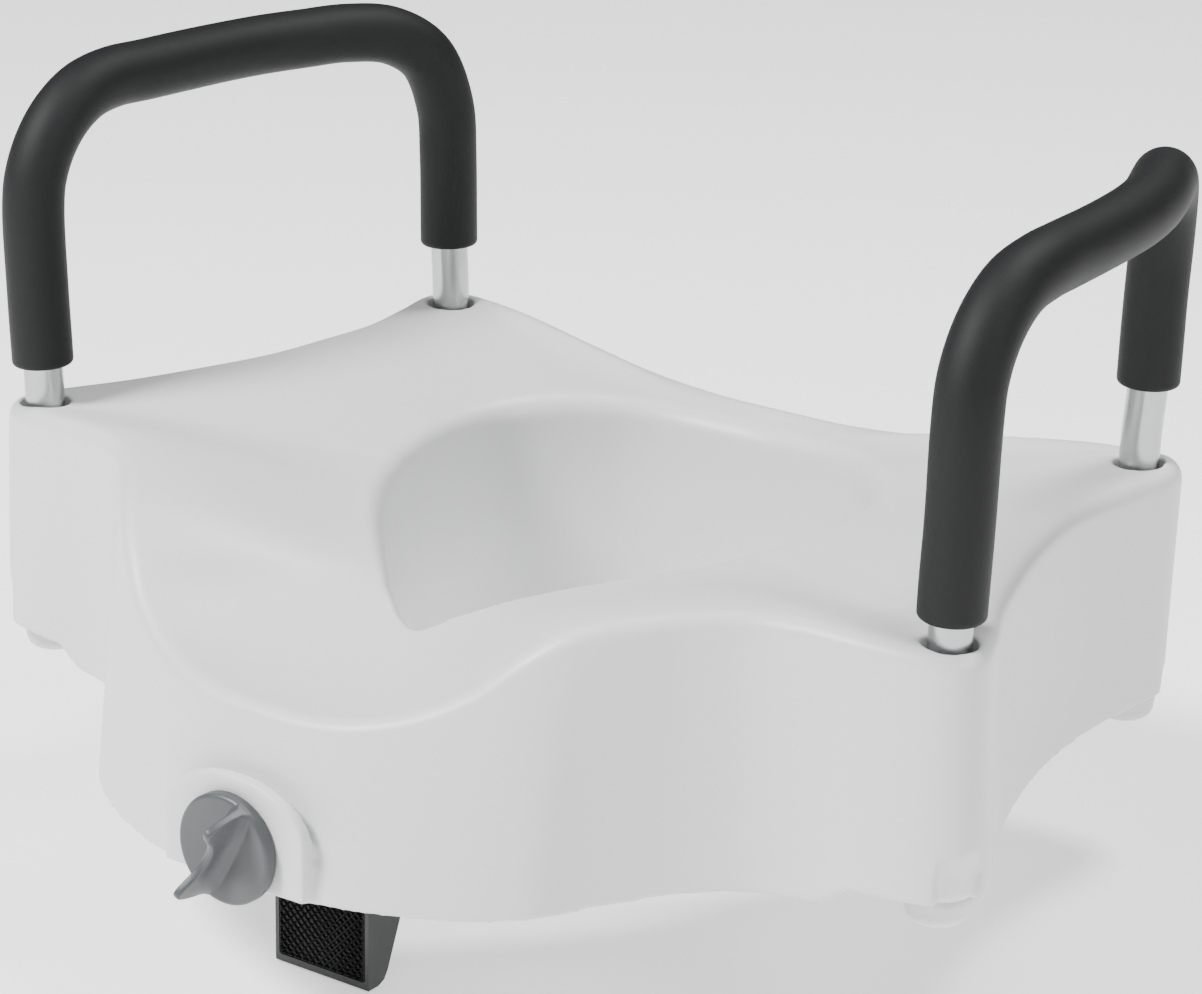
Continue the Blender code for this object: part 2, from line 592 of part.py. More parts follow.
def build_guide():
    """The folded steel guide that carries the bracket, and the screws that hold it."""
    low, high = -257.0, -169.5
    profile = [(-54.0, 33.0), (-36.2, 33.0), (-36.2, 25.2), (-28.2, 25.2), (-28.2, 27.5), (-34.0, 27.5), (-34.0, 33.0),
               (34.0, 33.0), (34.0, 27.5), (28.2, 27.5), (28.2, 25.2), (36.2, 25.2), (36.2, 33.0), (54.0, 33.0),
               (54.0, 35.0), (-54.0, 35.0)]
    plate = make_object("guide_plate", *prism(profile, low, high, "Y"), smooth=False)
    for index, (x, y) in enumerate(guide_screw_places()):
        hole = lathe((x, y, 30.0), (0, 0, 1), [(0, 2.4), (8.0, 2.4)], 16)
        boolean(plate, make_object(f"guide_hole_{index}", *hole, helper=True), "DIFFERENCE")
    names = ("front_left", "back_left", "front_right", "back_right")
    for (x, y), place in zip(guide_screw_places(), names):
        screw = [(0, 0.0), (0, 3.2), (0.8, 4.0), (2.4, 4.0), (2.4, 1.9), (16.0, 1.9), (17.2, 0.0)]
        make_object(f"guide_screw_{place}", *lathe((x, y, 30.3), (0, 0, 1), screw, 16))


def build_rest_pads():
    """Rubber pads under the ledge, which the shell rests on."""
    for side, flip in (("right", 1), ("left", -1)):
        for place, x, y, turn in (("front", 121.0, -46.0, -66.0), ("back", 128.5, 38.0, -82.0)):
            a = math.radians(turn)
            points = []
            for u, v in rounded_rectangle(44.0, 15.0, 4.0, 3):
                points.append((flip * (x + u * math.cos(a) - v * math.sin(a)), y + u * math.sin(a) + v * math.cos(a)))
            make_object(f"rest_pad_{place}_{side}", *prism(points, 0.0, FUNNEL_BOTTOM - 0.3), smooth=False)


clear_scene()
build_shell()
build_arms()
build_feet()
build_knob()
build_bracket()
build_guide()
build_rest_pads()
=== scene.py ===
"""Looks of the raised toilet seat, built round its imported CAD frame.

Lengths are in millimetres and are scaled to metres when each mesh is made. Z = 0 is the plane the seat rests on,
X = 0 is its plane of symmetry and -Y is its front, where the knob is.
"""

import math

import bmesh
import bpy
import numpy as np
from mathutils import Matrix, Vector, noise


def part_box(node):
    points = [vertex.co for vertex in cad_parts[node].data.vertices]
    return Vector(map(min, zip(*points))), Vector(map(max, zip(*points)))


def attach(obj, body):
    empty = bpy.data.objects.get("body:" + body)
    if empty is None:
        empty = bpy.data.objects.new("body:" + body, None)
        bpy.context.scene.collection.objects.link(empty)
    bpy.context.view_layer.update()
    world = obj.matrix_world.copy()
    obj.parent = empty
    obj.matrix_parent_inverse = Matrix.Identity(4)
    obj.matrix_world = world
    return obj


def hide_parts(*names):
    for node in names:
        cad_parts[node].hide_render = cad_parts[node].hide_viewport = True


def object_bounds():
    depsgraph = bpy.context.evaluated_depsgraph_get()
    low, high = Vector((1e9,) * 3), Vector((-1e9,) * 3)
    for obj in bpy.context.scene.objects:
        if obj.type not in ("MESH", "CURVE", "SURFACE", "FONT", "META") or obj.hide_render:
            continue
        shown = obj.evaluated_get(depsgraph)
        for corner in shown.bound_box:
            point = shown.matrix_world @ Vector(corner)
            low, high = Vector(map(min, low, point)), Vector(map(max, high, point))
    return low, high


MM = 0.001

# Shell
RIM_HEIGHT = 127.0
WALL = 4.0
SKIRT_BOTTOM = 15.0
FRONT_RISE = 4.0
FILLET = 8.0
FUNNEL_BOTTOM = 6.0
REAR_LIP_DROP = 26.0
FLANGE = 26.0
FINE_VOXEL = 1.5          # grain of the mesh in which the shell's corners are rounded

# Arms
TUBE_RADIUS = 9.525
TUBE_WALL = 1.3
FOAM_RADIUS = 15.0
FOAM_BORE = 9.85
SOCKET_RADIUS = 10.3
SOCKET_MOUTH_RADIUS = 11.9
SOCKET_MOUTH_DEPTH = 16.0
POST_RADIUS = 15.2
CORE_RADIUS = 18.8        # solid plastic round the lower end of a post, behind the recess in the wall
CORE_HEIGHT = 34.0
COLLAR_BOTTOM = 14.6      # where a post ends sharply on its foot cap
TUBE_END = 24.0

# Clamp
KNOB_RADIUS = 25.3
KNOB_FRONT = -290.2
BOSS_FACE = -283.5
BOSS_ROOT = -277.0
BOSS_HALF_WIDTH = 39.5
BOSS_SHOULDER = 28.0
BOSS_ARCH = 23.0
WASHER_BOSS_RADIUS = 13.0
SPINDLE_WAY_RADIUS = 6.0
STUD_RADIUS = 6.0
STUD_BOTTOM = 35.4
STUD_X = 46.0
STUDS = ((-248.0, 77.5), (-186.0, 86.5))          # y, top
AXIS_HEIGHT = 18.3
KNURL_PITCH = 2.9
KNURL_DEPTH = 1.25
KNURL_WIDTH = 0.30        # of half the pitch, from a ridge's top to its foot

# Wing of the knob on one side of the axis: (distance along the disc, height above it, half width at its foot)
WING = [
    (24.9, 0.6, 3.2), (24.2, 7.0, 3.8), (22.6, 14.0, 4.6), (20.8, 18.6, 5.2), (18.4, 20.2, 5.8), (15.0, 18.6, 6.2),
    (10.0, 14.0, 6.6), (5.0, 11.0, 6.8), (0.0, 10.0, 6.8),
]
WING_SLANT = (0.48, 0.877)

# Recess in the wall over the lower end of a post: (height, radius round the post) and (middle, half spread) in degrees
RECESS = ((-4.0, 16.4), (16.0, 16.6), (28.0, 18.6), (44.0, 23.6))
RECESS_OUTSIDE = 32.0
RECESS_FACING = {"front": (-33.0, 27.0), "back": (40.0, 34.0)}

# Half outline of the shell, from the middle of the nose round to the middle of the back: the opening's lip
# (x, y, depth below the wings), the top of the outer wall (x, y, depth below the wings) and its foot (x, y).
HALF_OUTLINE = [
    (0.0, -161.0, 45.5, 0.0, -267.0, 50.0, 0.0, -281.5),
    (10.0, -159.4, 42.0, 35.0, -264.5, 49.0, 33.0, -279.5),
    (18.5, -155.0, 37.0, 66.0, -254.5, 43.0, 62.0, -272.0),
    (29.0, -148.0, 32.5, 93.0, -241.0, 30.0, 89.0, -260.0),
    (38.0, -140.0, 29.0, 112.0, -227.5, 13.0, 109.0, -247.5),
    (48.0, -131.5, 26.0, 124.5, -216.5, 4.0, 124.0, -235.0),
    (58.0, -121.5, 23.5, 135.5, -205.0, 0.0, 137.0, -214.5),
    (69.0, -110.0, 21.5, 149.0, -190.0, -2.0, 151.0, -195.0),
    (81.0, -95.0, 20.0, 163.0, -175.5, -3.0, 165.5, -177.5),
    (91.5, -80.0, 19.0, 182.0, -161.5, -3.5, 184.0, -161.5),
    (97.0, -71.0, 18.5, 206.0, -155.0, -3.5, 209.0, -153.0),
    (102.0, -62.0, 17.5, 235.0, -151.0, -2.0, 237.0, -151.5),
    (107.0, -50.0, 17.0, 262.5, -143.3, 0.0, 264.0, -145.0),
    (110.0, -43.0, 16.0, 275.0, -128.0, 0.0, 278.0, -129.0),
    (113.0, -35.0, 15.4, 269.5, -107.0, 0.0, 271.5, -106.0),
    (116.0, -20.0, 14.4, 253.0, -74.0, 0.0, 254.5, -73.0),
    (118.5, -8.0, 13.5, 240.0, -40.0, 0.0, 241.0, -39.0),
    (120.0, 8.0, 13.0, 227.5, 0.0, 0.0, 229.5, 0.0),
    (119.8, 28.0, 12.7, 220.5, 38.0, -1.0, 223.0, 38.0),
    (116.0, 47.0, 12.4, 219.5, 70.0, -0.5, 221.5, 71.0),
    (108.0, 63.0, 12.3, 223.0, 100.5, -1.0, 223.0, 101.0),
    (96.0, 78.0, 12.5, 226.0, 128.5, -2.0, 223.6, 127.6),
    (85.0, 89.0, 13.5, 213.5, 145.5, -2.0, 212.3, 144.0),
    (73.0, 99.0, 15.0, 190.0, 145.0, -2.0, 190.0, 148.0),
    (58.0, 107.0, 16.5, 160.0, 141.5, 0.0, 160.0, 145.5),
    (42.0, 112.0, 18.0, 120.0, 138.0, 6.0, 120.0, 142.5),
    (26.0, 115.0, 19.0, 80.0, 138.5, 13.5, 80.0, 143.0),
    (13.0, 116.5, 19.5, 40.0, 139.5, 17.5, 40.0, 144.0),
    (0.0, 117.0, 20.0, 0.0, 139.5, 18.0, 0.0, 144.0),
]

FRONT_BEND_CENTRE = (-72.0, 222.3)
FRONT_BEND_RADIUS = 54.0
ARM_FRONT_LEG = [(256.2, -124.2, TUBE_END), (257.0, -125.5, 127.0), (259.2, -126.0, 180.0)]
ARM_BAR = [
    (257.5, -48.7, 276.4), (255.9, -23.0, 276.4), (253.6, 2.0, 276.4), (249.9, 27.0, 276.3), (243.4, 52.0, 276.1),
    (234.2, 76.0, 276.2), (223.9, 98.9, 272.5), (215.0, 117.0, 259.0), (209.9, 125.5, 234.0), (208.2, 126.4, 207.0),
]
ARM_BACK_LEG = [(207.2, 126.0, 165.0), (205.4, 125.6, 129.0), (204.6, 126.6, TUBE_END)]
FOAM_ENDS = {"right": (137.5, 166.5), "left": (145.0, 159.5)}

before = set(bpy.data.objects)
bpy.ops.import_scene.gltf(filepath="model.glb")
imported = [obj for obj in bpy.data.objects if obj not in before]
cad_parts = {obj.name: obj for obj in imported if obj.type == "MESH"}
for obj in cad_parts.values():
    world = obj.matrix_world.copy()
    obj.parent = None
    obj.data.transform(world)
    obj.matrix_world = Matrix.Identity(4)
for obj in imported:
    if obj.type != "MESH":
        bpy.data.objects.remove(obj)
cad_low, cad_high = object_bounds()


# ---------------------------------------------------------------- meshes

def make_object(name, verts, faces, smooth=True):
    """A mesh object from points in millimetres, with its faces turned outwards."""
    mesh = bpy.data.meshes.new(name)
    mesh.from_pydata([(x * MM, y * MM, z * MM) for x, y, z in verts], [], faces)
    work = bmesh.new()
    work.from_mesh(mesh)
    bmesh.ops.recalc_face_normals(work, faces=work.faces)
    work.to_mesh(mesh)
    work.free()
    obj = bpy.data.objects.new(name, mesh)
    bpy.context.scene.collection.objects.link(obj)
    mesh.polygons.foreach_set("use_smooth", [smooth] * len(mesh.polygons))
    return obj


def rings_to_faces(rings, closed):
    faces = []
    count = len(rings)
    for r in range(count if closed else count - 1):
        first, second = rings[r], rings[(r + 1) % count]
        if len(first) == 1 or len(second) == 1:
            loop, tip = (second, first[0]) if len(first) == 1 else (first, second[0])
            for i in range(len(loop)):
                faces.append((loop[i], loop[(i + 1) % len(loop)], tip))
            continue
        for i in range(len(first)):
            j = (i + 1) % len(first)
            faces.append((first[i], first[j], second[j], second[i]))
    if not closed:
        for ring in (rings[0], rings[-1]):
            if len(ring) > 1:
                faces.append(tuple(ring))
    return faces


def ring_frame(axis):
    axis = Vector(axis).normalized()
    side = Vector((0.0, 1.0, 0.0)) if abs(axis.y) < 0.9 else Vector((1.0, 0.0, 0.0))
    across = axis.cross(side).normalized()
    return across, axis.cross(across).normalized()


def lathe(start, axis, profile, segments=64, closed=False):
    """Solid of revolution from (distance along the axis, radius). A closed profile makes a ring."""
    axis = Vector(axis).normalized()
    across, up = ring_frame(axis)
    verts = []
    rings = []
    for along, radius in profile:
        centre = Vector(start) + axis * along
        if radius == 0.0:
            rings.append([len(verts)])
            verts.append(tuple(centre))
            continue
        first = len(verts)
        for i in range(segments):
            angle = 2 * math.pi * i / segments
            verts.append(tuple(centre + across * (radius * math.cos(angle)) + up * (radius * math.sin(angle))))
        rings.append(list(range(first, first + segments)))
    return verts, rings_to_faces(rings, closed)


def prism_y(points, low, high):
    """An outline (x, z) pushed along Y."""
    count = len(points)
    verts = [(a, low, b) for a, b in points] + [(a, high, b) for a, b in points]
    faces = [tuple(range(count)), tuple(range(count, 2 * count))]
    faces += [(i, (i + 1) % count, count + (i + 1) % count, count + i) for i in range(count)]
    return verts, faces


def combine(obj, other, operation):
    modifier = obj.modifiers.new(other.name, "BOOLEAN")
    modifier.operation = operation
    modifier.solver = "EXACT"
    modifier.object = other
    other.hide_render = True
    return other


def bake(obj, helpers=()):
    """Replaces the object's mesh by its evaluated one and removes the helpers."""
    graph = bpy.context.evaluated_depsgraph_get()
    graph.update()
    made = bpy.data.meshes.new_from_object(obj.evaluated_get(graph))
    obj.modifiers.clear()
    obj.data = made
    for helper in helpers:
        bpy.data.objects.remove(helper)
    made.polygons.foreach_set("use_smooth", [True] * len(made.polygons))
    return obj


def soften(obj, voxel, passes):
    """Rounds every corner of a solid a little, as a moulded piece has them."""
    remesh = obj.modifiers.new("grain", "REMESH")
    remesh.mode = "VOXEL"
    remesh.voxel_size = voxel * MM
    remesh.use_smooth_shade = True
    relax = obj.modifiers.new("relax", "SMOOTH")
    relax.factor = 0.5
    relax.iterations = passes
    return bake(obj)


# ---------------------------------------------------------------- shell

def smooth_rows(rows, steps, mirrored=None):
    """Rows on a Catmull-Rom curve through the given rows."""
    table = np.array(rows, float)
    if mirrored is not None:
        before, after = table[1] * mirrored, table[-2] * mirrored
    else:
        before, after = 2 * table[0] - table[1], 2 * table[-1] - table[-2]
    table = np.vstack([before, table, after])
    made = []
    for k in range(1, len(table) - 2):
        a, b, c, d = table[k - 1], table[k], table[k + 1], table[k + 2]
        for s in range(steps):
            t = s / steps
            square, cube = 2 * a - 5 * b + 4 * c - d, 3 * b - a - 3 * c + d
            made.append(0.5 * (2 * b + (c - a) * t + square * t**2 + cube * t**3))
    made.append(table[-2])
    return np.array(made)


def ease(value):
    value = min(1.0, max(0.0, value))
    return value * value * (3 - 2 * value)


def shell_section(lip, edge, foot, normals, share):
    """One closed section of the shell, from inside the opening over the top, down the outer wall and back."""
    lip_xy, edge_xy, foot_xy = Vector(lip[:2]), Vector(edge[:2]), Vector(foot)
    lip_out, edge_out, foot_out = normals
    lip_z = RIM_HEIGHT - lip[2]
    edge_z = RIM_HEIGHT - edge[2]
    lip_round = 5.0 + 7.0 * ease((share - 0.05) / 0.2)
    inner = lip_xy - lip_out * (0.75 * lip_round)
    top_start = lip_xy + lip_out * (0.25 * lip_round)
    top_end = edge_xy - edge_out * FILLET
    skirt = FRONT_RISE * ease((share - 0.15) / 0.15) + (SKIRT_BOTTOM - FRONT_RISE) * ease((share - 0.362) / 0.022)
    rear = ease((share - 0.86) / 0.08)
    funnel_low = FUNNEL_BOTTOM - REAR_LIP_DROP * rear
    flange = 2.0 + FLANGE * ease((share - 0.30) / 0.08) * ease((0.80 - share) / 0.08)
    taper = inner - lip_out * 2.0
    sag = 6.0 * (1 - ease(share / 0.16))
    points = []

    def add(xy, z):
        points.append((xy.x, xy.y, z))

    def top_height(t):
        rise = ease(0.15 + 0.85 * t) - ease(0.15) * (1 - t) ** 3
        return (lip_z - 1.0) + (edge_z - lip_z + 1.0) * rise - sag * 4 * t * (1 - t)

    add(taper, funnel_low)
    add(taper, 30.0)
    for angle in range(0, 91, 9):
        a = math.radians(angle)
        add(inner + lip_out * (lip_round * (1 - math.cos(a))), lip_z - 1.0 - lip_round * (1 - math.sin(a)))
    for k in range(1, 13):
        t = k / 12
        add(top_start.lerp(top_end, t), top_height(t))
    for angle in range(9, 91, 9):
        a = math.radians(angle)
        add(top_end + edge_out * (FILLET * math.sin(a)), edge_z - FILLET * (1 - math.cos(a)))
    for k in range(1, 9):
        v = k / 8
        add(edge_xy.lerp(foot_xy, v + 0.2 * v * (1 - v)), (edge_z - FILLET) * (1 - v) + skirt * v)
    add(foot_xy - foot_out * WALL, skirt)
    middle_xy = edge_xy.lerp(foot_xy, 0.55)
    add(middle_xy - edge_out * WALL, 0.5 * (edge_z - FILLET + skirt))
    add(edge_xy - edge_out * (WALL + 0.6), edge_z - FILLET)
    add(top_end - edge_out, edge_z - WALL)
    for t in (0.8, 0.6, 0.4, 0.2):
        add(top_start.lerp(top_end, t), top_height(t) - WALL)
    add(inner + lip_out * (WALL + 0.8), lip_z - lip_round - 2.0)
    add(taper + lip_out * WALL, FUNNEL_BOTTOM + 4.0)
    add(taper + lip_out * (WALL + flange), FUNNEL_BOTTOM + 4.0)
    add(taper + lip_out * (WALL + flange), FUNNEL_BOTTOM)
    add(taper + lip_out * (WALL + 0.2), min(FUNNEL_BOTTOM, funnel_low + 6.0 * rear))
    return points


def outline_normals(points):
    before = np.vstack([points[1] * (-1, 1), points[:-1]])
    after = np.vstack([points[1:], points[-2] * (-1, 1)])
    along = after - before
    normals = np.column_stack([along[:, 1], -along[:, 0]])
    return normals / np.linalg.norm(normals, axis=1)[:, None]


def shell_mesh(steps):
    half = smooth_rows(HALF_OUTLINE, steps, np.array([-1, 1, 1, -1, 1, 1, -1, 1], float))
    normals = [outline_normals(half[:, k:k + 2]) for k in (0, 3, 6)]
    sections = []
    for i, row in enumerate(half):
        out = [Vector(n[i]) for n in normals]
        sections.append(shell_section(row[0:3], row[3:6], row[6:8], out, i / (len(half) - 1)))
    sections += [[(-x, y, z) for x, y, z in section] for section in sections[-2:0:-1]]
    verts = [point for section in sections for point in section]
    size = len(sections[0])
    rings = [list(range(i * size, (i + 1) * size)) for i in range(len(sections))]
    return verts, rings_to_faces(rings, closed=True)


def leg_axis(leg, flip):
    """Start and upward direction of the straight lower length of a leg."""
    low, high = (ARM_FRONT_LEG[0], ARM_FRONT_LEG[1]) if leg == "front" else (ARM_BACK_LEG[-1], ARM_BACK_LEG[-2])
    start = Vector((low[0] * flip, low[1], low[2]))
    end = Vector((high[0] * flip, high[1], high[2]))
    return start, (end - start).normalized()


def at_height(start, direction, height):
    return start + direction * ((height - start.z) / direction.z)


def column_recess(leg, flip):
    """What is cut from the wall's corner so that the lower end of the post shows as a round column."""
    start, direction = leg_axis(leg, flip)
    base = at_height(start, direction, 0.0)
    facing, spread = [math.radians(angle) for angle in RECESS_FACING[leg]]
    verts = []
    rings = []
    for z, inner in RECESS:
        ring = []
        for radius, order in ((inner, 1), (RECESS_OUTSIDE, -1)):
            for k in range(17):
                angle = facing + order * spread * (2 * k / 16 - 1)
                ring.append(len(verts))
                verts.append(((base.x * flip + radius * math.cos(angle)) * flip, base.y + radius * math.sin(angle), z))
        rings.append(ring)
    return verts, rings_to_faces(rings, closed=False)


def add_collars(shell):
    """The sharp lower ends of the four posts, which close on the foot caps."""
    work = bmesh.new()
    work.from_mesh(shell.data)
    for flip in (1, -1):
        for leg in ("front", "back"):
            start, direction = leg_axis(leg, flip)
            profile = [(0.0, 11.0), (0.0, 15.4), (0.3, 15.7), (4.0, 15.9), (14.0, 15.4), (20.0, 14.0), (20.0, 11.0)]
            base = at_height(start, direction, COLLAR_BOTTOM)
            collar = make_object("collar", *lathe(base, direction, profile, 64, closed=True))
            work.from_mesh(collar.data)
            bpy.data.objects.remove(collar)
    work.to_mesh(shell.data)
    work.free()
    shell.data.polygons.foreach_set("use_smooth", [True] * len(shell.data.polygons))


def build_shell():
    shell = make_object("shell_body", *shell_mesh(7))
    helpers = []
    for flip in (1, -1):
        for leg in ("front", "back"):
            start, direction = leg_axis(leg, flip)
            low = at_height(start, direction, SKIRT_BOTTOM)
            post = lathe(low, direction, [(0, POST_RADIUS), (RIM_HEIGHT - SKIRT_BOTTOM - 2.0, POST_RADIUS)], 56)
            helpers.append(combine(shell, make_object(f"post_{leg}_{flip}", *post), "UNION"))
            core_profile = [(0, CORE_RADIUS), (CORE_HEIGHT, CORE_RADIUS), (CORE_HEIGHT + 8.0, 15.0)]
            core = lathe(low, direction, core_profile, 56)
            helpers.append(combine(shell, make_object(f"core_{leg}_{flip}", *core), "UNION"))
    boss = [(BOSS_HALF_WIDTH, 1.0), (BOSS_HALF_WIDTH, BOSS_SHOULDER)]
    for angle in range(8, 90, 8):
        a = math.radians(angle)
        boss.append((BOSS_HALF_WIDTH * math.cos(a), BOSS_SHOULDER + BOSS_ARCH * math.sin(a)))
    boss += [(-x, z) for x, z in boss[::-1]]
    helpers.append(combine(shell, make_object("boss", *prism_y(boss, BOSS_FACE, BOSS_ROOT)), "UNION"))
    inner = lathe((0, -280.0, AXIS_HEIGHT), (0, 1, 0), [(0, WASHER_BOSS_RADIUS), (9.5, WASHER_BOSS_RADIUS)], 48)
    helpers.append(combine(shell, make_object("washer_boss", *inner), "UNION"))
    for x in (-STUD_X, STUD_X):
        for y, top in STUDS:
            stud = lathe((x, y, STUD_BOTTOM), (0, 0, 1), [(0, STUD_RADIUS), (top - STUD_BOTTOM, STUD_RADIUS)], 24)
            helpers.append(combine(shell, make_object(f"stud_{x:.0f}_{y:.0f}", *stud), "UNION"))
    for flip in (1, -1):
        for leg in ("front", "back"):
            recess = make_object(f"recess_{leg}_{flip}", *column_recess(leg, flip))
            helpers.append(combine(shell, recess, "DIFFERENCE"))
            start, direction = leg_axis(leg, flip)
            low = at_height(start, direction, SKIRT_BOTTOM - 5.0)
            mouth = RIM_HEIGHT - SOCKET_MOUTH_DEPTH - SKIRT_BOTTOM + 5.0
            profile = [(0, SOCKET_RADIUS), (mouth, SOCKET_RADIUS), (mouth + 3.0, SOCKET_MOUTH_RADIUS),
                       (mouth + 36.0, SOCKET_MOUTH_RADIUS)]
            socket = make_object(f"socket_{leg}_{flip}", *lathe(low, direction, profile, 56))
            helpers.append(combine(shell, socket, "DIFFERENCE"))
    way = lathe((0, -300.0, AXIS_HEIGHT), (0, 1, 0), [(0, SPINDLE_WAY_RADIUS), (40.0, SPINDLE_WAY_RADIUS)], 32)
    hole = make_object("spindle_way", *way)
    helpers.append(combine(shell, hole, "DIFFERENCE"))
    bake(shell, helpers)
    soften(shell, FINE_VOXEL, 9)
    add_collars(shell)
    return shell


# ---------------------------------------------------------------- arms

def arm_path():
    points = list(ARM_FRONT_LEG)
    for angle in (0, 22.5, 45, 67.5, 90):
        a = math.radians(angle)
        points.append((260.4 - 1.1 * angle / 90,
                       FRONT_BEND_CENTRE[0] - FRONT_BEND_RADIUS * math.cos(a),
                       FRONT_BEND_CENTRE[1] + FRONT_BEND_RADIUS * math.sin(a)))
    points += ARM_BAR + ARM_BACK_LEG
    return smooth_rows(points, 10)


def cut_path(path, front_height, back_height):
    """The part of the path above the two heights, with points crowded at both ends for their rounding."""
    top = int(np.argmax(path[:, 2]))
    keep = [k for k in range(len(path)) if path[k, 2] > (front_height if k <= top else back_height) + 7.0]
    first, last = keep[0], keep[-1]

    def at(low, high, height):
        return low + (high - low) * (height - low[2]) / (high[2] - low[2])

    steps = (0.0, 0.25, 0.6, 1.1, 1.8, 2.6, 3.6, 5.0)
    start = [at(path[first - 1], path[first], front_height + s) for s in steps]
    end = [at(path[last + 1], path[last], back_height + s) for s in steps[::-1]]
    return np.array(start + [path[k] for k in keep] + end)


def sweep(path, inner, radius_at, segments):
    """A sleeve along a path. radius_at(distance from the nearer end, point, outward direction) is its outer radius."""
    steps = np.linalg.norm(np.diff(path, axis=0), axis=1)
    along = np.concatenate([[0.0], np.cumsum(steps)])
    count = len(path)
    verts = []
    outer_rings = []
    inner_rings = []
    across = None
    for k in range(count):
        here = Vector(path[k])
        ahead = (Vector(path[min(k + 1, count - 1)]) - Vector(path[max(k - 1, 0)])).normalized()
        if across is None:
            across = ahead.cross(Vector((1.0, 0.0, 0.0))).normalized()
        across = (across - ahead * across.dot(ahead)).normalized()
        up = ahead.cross(across).normalized()
        end = min(along[k], along[-1] - along[k])
        for rings, outer in ((inner_rings, False), (outer_rings, True)):
            first = len(verts)
            for i in range(segments):
                angle = 2 * math.pi * i / segments
                out = across * math.cos(angle) + up * math.sin(angle)
                verts.append(tuple(here + out * (radius_at(end, here, out) if outer else inner)))
            rings.append(list(range(first, first + segments)))
    return verts, rings_to_faces(outer_rings + inner_rings[::-1], closed=True)


def foam_radius(end, here, out):
    """The grip's radius: rounded at its ends, and a little uneven where it was pushed over the bends."""
    corner = 2.4
    cut = corner - math.sqrt(max(0.0, corner**2 - (corner - end) ** 2)) if end < corner else 0.0
    unevenness = noise.noise((here + out * 9.0) * 0.021) * 0.22
    return FOAM_RADIUS - 0.15 - cut + unevenness * min(1.0, end / 20.0)


def build_arms():
    path = arm_path()
    pieces = []
    for side, flip in (("right", 1), ("left", -1)):
        line = path * (flip, 1, 1)
        tube = make_object(f"tube_{side}", *sweep(line, TUBE_RADIUS - TUBE_WALL, lambda *_: TUBE_RADIUS, 48))
        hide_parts(f"arm_tube_{side}")
        grip_line = cut_path(path, *FOAM_ENDS[side]) * (flip, 1, 1)
        grip = make_object(f"grip_{side}", *sweep(grip_line, FOAM_BORE, foam_radius, 56))
        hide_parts(f"foam_grip_{side}")
        pieces += [tube, grip]
    return pieces


def build_feet():
    feet = []
    for side, flip in (("right", 1), ("left", -1)):
        for leg in ("front", "back"):
            start, direction = leg_axis(leg, flip)
            base = at_height(start, direction, 0.0)
            profile = [(5.2, 2.4), (5.0, 4.8), (0.5, 4.8), (0.0, 5.4), (0.0, 7.8)]
            for k in range(1, 11):
                a = math.radians(90 * k / 10)
                profile.append((6.2 * (1 - math.cos(a)), 8.2 + 6.2 * math.sin(a)))
            profile += [(10.0, 15.0), (14.1, 15.5), (14.4, 15.2), (14.4, 9.3), (21.0, 9.3), (21.5, 8.8), (21.5, 2.4)]
            foot = make_object(f"foot_{leg}_{side}", *lathe(base, (0, 0, 1), profile, 64, closed=True))
            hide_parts(f"foot_cap_{leg}_{side}")
            feet.append(foot)
    return feet


# ---------------------------------------------------------------- clamp

def build_knob():
    """The disc and its wing: a thin fin with a lobe near each end, a saddle between them and hollow flanks."""
    disc = [(0, 0.0), (0, 23.7), (0.5, 24.6), (1.3, KNOB_RADIUS), (5.8, KNOB_RADIUS), (6.3, 24.9), (6.3, 0.0)]
    knob = make_object("knob_disc", *lathe((0, KNOB_FRONT, AXIS_HEIGHT), (0, 1, 0), disc, 128))
    along = Vector((WING_SLANT[0], 0.0, WING_SLANT[1]))
    across = Vector((WING_SLANT[1], 0.0, -WING_SLANT[0]))
    rows = [(-distance, *rest) for distance, *rest in WING] + WING[-2::-1]
    verts = []
    rings = []
    for distance, height, base in smooth_rows(rows, 4):
        height = max(height, 0.5)
        centre = Vector((0.0, KNOB_FRONT, AXIS_HEIGHT)) + along * distance
        half_outline = [(base + 0.4, -3.0), (base, 0.0)]
        for k in range(1, 7):
            t = k / 7
            half_outline.append((1.9 + (base - 1.9) * (1 - t) ** 3.0, height * (0.04 + 0.96 * t ** 1.35)))
        half_outline += [(1.75, height - 0.5), (1.1, height)]
        ring = []
        for side, lift in [(-side, lift) for side, lift in half_outline] + half_outline[::-1]:
            ring.append(len(verts))
            verts.append(tuple(centre + across * side + Vector((0.0, -lift, 0.0))))
        rings.append(ring)
    helpers = [combine(knob, make_object("wing", verts, rings_to_faces(rings, closed=False)), "UNION")]
    pocket = lathe((0, KNOB_FRONT + 2.4, AXIS_HEIGHT), (0, 1, 0), [(0, 8.4), (10.0, 8.4)], 6)
    helpers.append(combine(knob, make_object("pocket", *pocket), "DIFFERENCE"))
    bake(knob, helpers)
    soften(knob, 0.4, 4)
    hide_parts("clamp_knob")
    return knob


